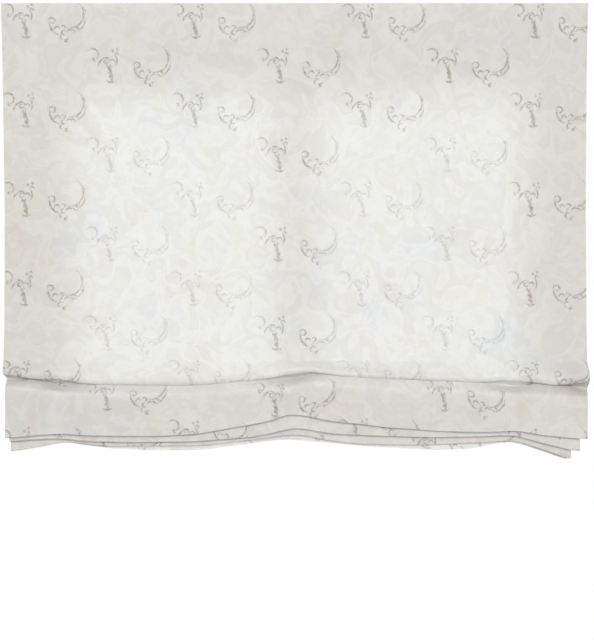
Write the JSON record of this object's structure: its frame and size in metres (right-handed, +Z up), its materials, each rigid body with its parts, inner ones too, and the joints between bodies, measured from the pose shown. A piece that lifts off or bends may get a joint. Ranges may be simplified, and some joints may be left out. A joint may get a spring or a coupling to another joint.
{
  "type": "roman blind",
  "caption": "Soft roman blind, partly raised: a printed cloth hung from a slim wall-fixed headrail, its foot gathered into sagging folds.",
  "frame": {"origin": "on the wall plane, in the middle of the line of the bracket screw holes", "axes": "+X to the viewer's right along the headrail, +Y into the wall, +Z up; the cloth's face looks along -Y"},
  "size_m": [1.2, 0.0862, 0.9399],
  "materials": {
    "cloth": "matt woven cotton, pale, with a faded scroll print",
    "headrail": "white powder coat on aluminium",
    "shaft": "mill finish",
    "bracket_steel": "white powder coat",
    "pin_steel": "zinc plated",
    "spring_steel": "bare spring wire",
    "white_plastic": "moulded, satin",
    "ring_plastic": "moulded, clear white",
    "hook_tape": "stiff woven hook tape",
    "loop_tape": "soft loop tape",
    "cord": "braided polyester"
  },
  "bodies": {
    "rail": {"headrail": "headrail", "hook_strip": "hook_tape", "loop_strip": "loop_tape", "end_cap": "white_plastic", "drive_plate": "white_plastic", "drive_cover": "white_plastic", "drive_screws": "pin_steel", "spool_cradle_left": "white_plastic", "spool_cradle_middle": "white_plastic", "spool_cradle_right": "white_plastic", "cord_eyelet_left": "white_plastic", "cord_eyelet_middle": "white_plastic", "cord_eyelet_right": "white_plastic", "wall_bracket_left": "bracket_steel", "wall_bracket_middle": "bracket_steel", "wall_bracket_right": "bracket_steel", "fabric_panel": "cloth", "lift_cord_left": "cord", "lift_cord_middle": "cord", "lift_cord_right": "cord"},
    "shaft": {"drive_shaft": "shaft", "shaft_bush": "white_plastic", "chain_wheel": "white_plastic", "clutch_spring": "spring_steel", "cord_spool_left": "white_plastic", "cord_spool_middle": "white_plastic", "cord_spool_right": "white_plastic", "cord_turns_left": "cord", "cord_turns_middle": "cord", "cord_turns_right": "cord"},
    "folds": {"fabric_folds": "cloth", "ring_row_4": "ring_plastic", "ring_row_5": "ring_plastic", "ring_row_6": "ring_plastic", "ring_row_7": "ring_plastic", "cord_orb_left": "white_plastic", "cord_orb_middle": "white_plastic", "cord_orb_right": "white_plastic"},
    "row_1": {"ring_row_1": "ring_plastic"},
    "row_2": {"ring_row_2": "ring_plastic"},
    "row_3": {"ring_row_3": "ring_plastic"},
    "latch_left": {"bracket_cam_left": "bracket_steel", "bracket_lever_left": "bracket_steel", "bracket_pin_left": "pin_steel"},
    "latch_middle": {"bracket_cam_middle": "bracket_steel", "bracket_lever_middle": "bracket_steel", "bracket_pin_middle": "pin_steel"},
    "latch_right": {"bracket_cam_right": "bracket_steel", "bracket_lever_right": "bracket_steel", "bracket_pin_right": "pin_steel"}
  },
  "joints": [
    {"name": "lift", "type": "slide", "parent": "rail", "child": "folds", "axis": [0, 0, 1], "range_m": [0, 0.52], "deforming": ["fabric_panel", "lift_cord_left", "lift_cord_middle", "lift_cord_right"]},
    {"name": "shaft_turn", "type": "hinge", "parent": "rail", "child": "shaft", "pos_m": [0, -0.0279, -0.003], "axis": [-1, 0, 0], "range_deg": [0, 3430]},
    {"name": "row_1_rise", "type": "slide", "parent": "rail", "child": "row_1", "axis": [0, 0, 1], "range_m": [0, 0.1136]},
    {"name": "row_2_rise", "type": "slide", "parent": "rail", "child": "row_2", "axis": [0, 0, 1], "range_m": [0, 0.2612]},
    {"name": "row_3_rise", "type": "slide", "parent": "rail", "child": "row_3", "axis": [0, 0, 1], "range_m": [0, 0.4089]},
    {"name": "latch_left_turn", "type": "hinge", "parent": "rail", "child": "latch_left", "pos_m": [-0.4, -0.0245, 0.0148], "axis": [0, 0, 1], "range_deg": [0, 90]},
    {"name": "latch_middle_turn", "type": "hinge", "parent": "rail", "child": "latch_middle", "pos_m": [0, -0.0245, 0.0148], "axis": [0, 0, 1], "range_deg": [0, 90]},
    {"name": "latch_right_turn", "type": "hinge", "parent": "rail", "child": "latch_right", "pos_m": [0.4, -0.0245, 0.0148], "axis": [0, 0, 1], "range_deg": [0, 90]}
  ],
  "couplings": [
    {"joint": "shaft_turn", "follows": "lift", "rad_per_m": 114.94},
    {"joint": "row_1_rise", "follows": "lift", "ratio": 0.2175},
    {"joint": "row_2_rise", "follows": "lift", "ratio": 0.5014},
    {"joint": "row_3_rise", "follows": "lift", "ratio": 0.7853}
  ]
}
